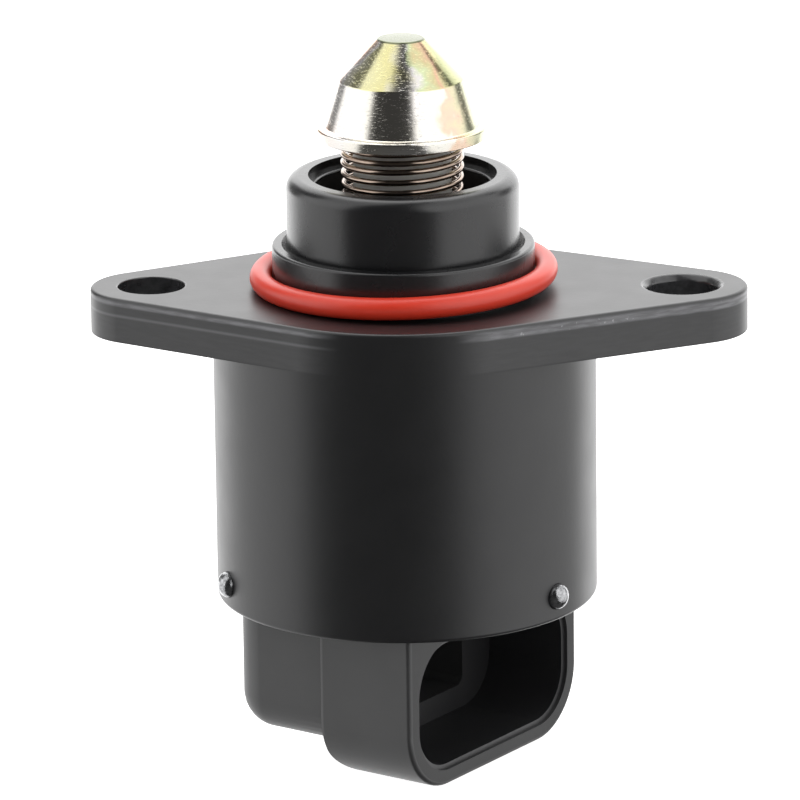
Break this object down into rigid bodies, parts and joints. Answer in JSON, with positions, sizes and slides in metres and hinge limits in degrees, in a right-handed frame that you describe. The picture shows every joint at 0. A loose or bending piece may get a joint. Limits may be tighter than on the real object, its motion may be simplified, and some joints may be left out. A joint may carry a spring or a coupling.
{
  "type": "idle air control valve",
  "caption": "Flanged stepper-motor valve that moves a spring-loaded conical pintle in and out of an air port, with a socket under its body.",
  "frame": {"origin": "on the pintle's axis, in the plane of the flange's mating face", "axes": "+Z along the pintle's axis towards its tip, X through the two screw holes with the wider end of the flange at +X, +Y away from the viewer of the picture"},
  "size_m": [0.0549, 0.0326, 0.0614],
  "materials": {
    "black_casting": "semi-gloss black",
    "red_rubber": "satin",
    "black_rubber": "satin",
    "yellow_zinc": "turned and yellow passivated zinc",
    "grey_plastic": "matte",
    "spring_steel": "oil-tempered, dark",
    "bright_steel": "ground",
    "sheet_steel": "zinc-plated sheet",
    "bronze": "sintered bronze",
    "natural_plastic": "matte, unpigmented",
    "magnet": "pressed ferrite",
    "copper_wire": "enamelled wire",
    "black_plastic": "matte, glass-filled",
    "tinned_contact": "tinned"
  },
  "bodies": {
    "valve_body": {"housing": "black_casting", "o_ring": "red_rubber", "pintle_spring": "spring_steel", "guide_bush": "bronze", "bearing_outer_race": "bright_steel", "stator_cup_front": "sheet_steel", "pole_plate_front": "sheet_steel", "bobbin_front": "natural_plastic", "winding_front": "copper_wire", "stator_cup_rear": "sheet_steel", "pole_plate_rear": "sheet_steel", "bobbin_rear": "natural_plastic", "winding_rear": "copper_wire", "preload_washer": "bright_steel", "rear_bush": "bronze", "end_cap": "black_plastic", "cap_seal": "black_rubber", "terminal_1": "tinned_contact", "terminal_2": "tinned_contact", "terminal_3": "tinned_contact", "terminal_4": "tinned_contact", "retaining_pin_1": "bright_steel", "retaining_pin_2": "bright_steel", "retaining_pin_3": "bright_steel"},
    "rotor": {"rotor_hub": "natural_plastic", "rotor_magnet": "magnet", "bearing_inner_race": "bright_steel", "bearing_balls": "bright_steel", "bearing_cage": "bronze"},
    "moving_pintle": {"pintle": "yellow_zinc", "pintle_sleeve": "grey_plastic", "lead_screw": "bright_steel"}
  },
  "joints": [
    {"name": "rotor_spin", "type": "hinge", "parent": "valve_body", "child": "rotor", "pos_m": [0, 0, 0], "axis": [0, 0, 1], "range_deg": [0, 1440]},
    {"name": "pintle_slide", "type": "slide", "parent": "valve_body", "child": "moving_pintle", "axis": [0, 0, 1], "range_m": [-0.004, 0], "deforming": ["pintle_spring"]}
  ],
  "couplings": [
    {"joint": "pintle_slide", "follows": "rotor_spin", "m_per_rad": -0.00015915}
  ]
}
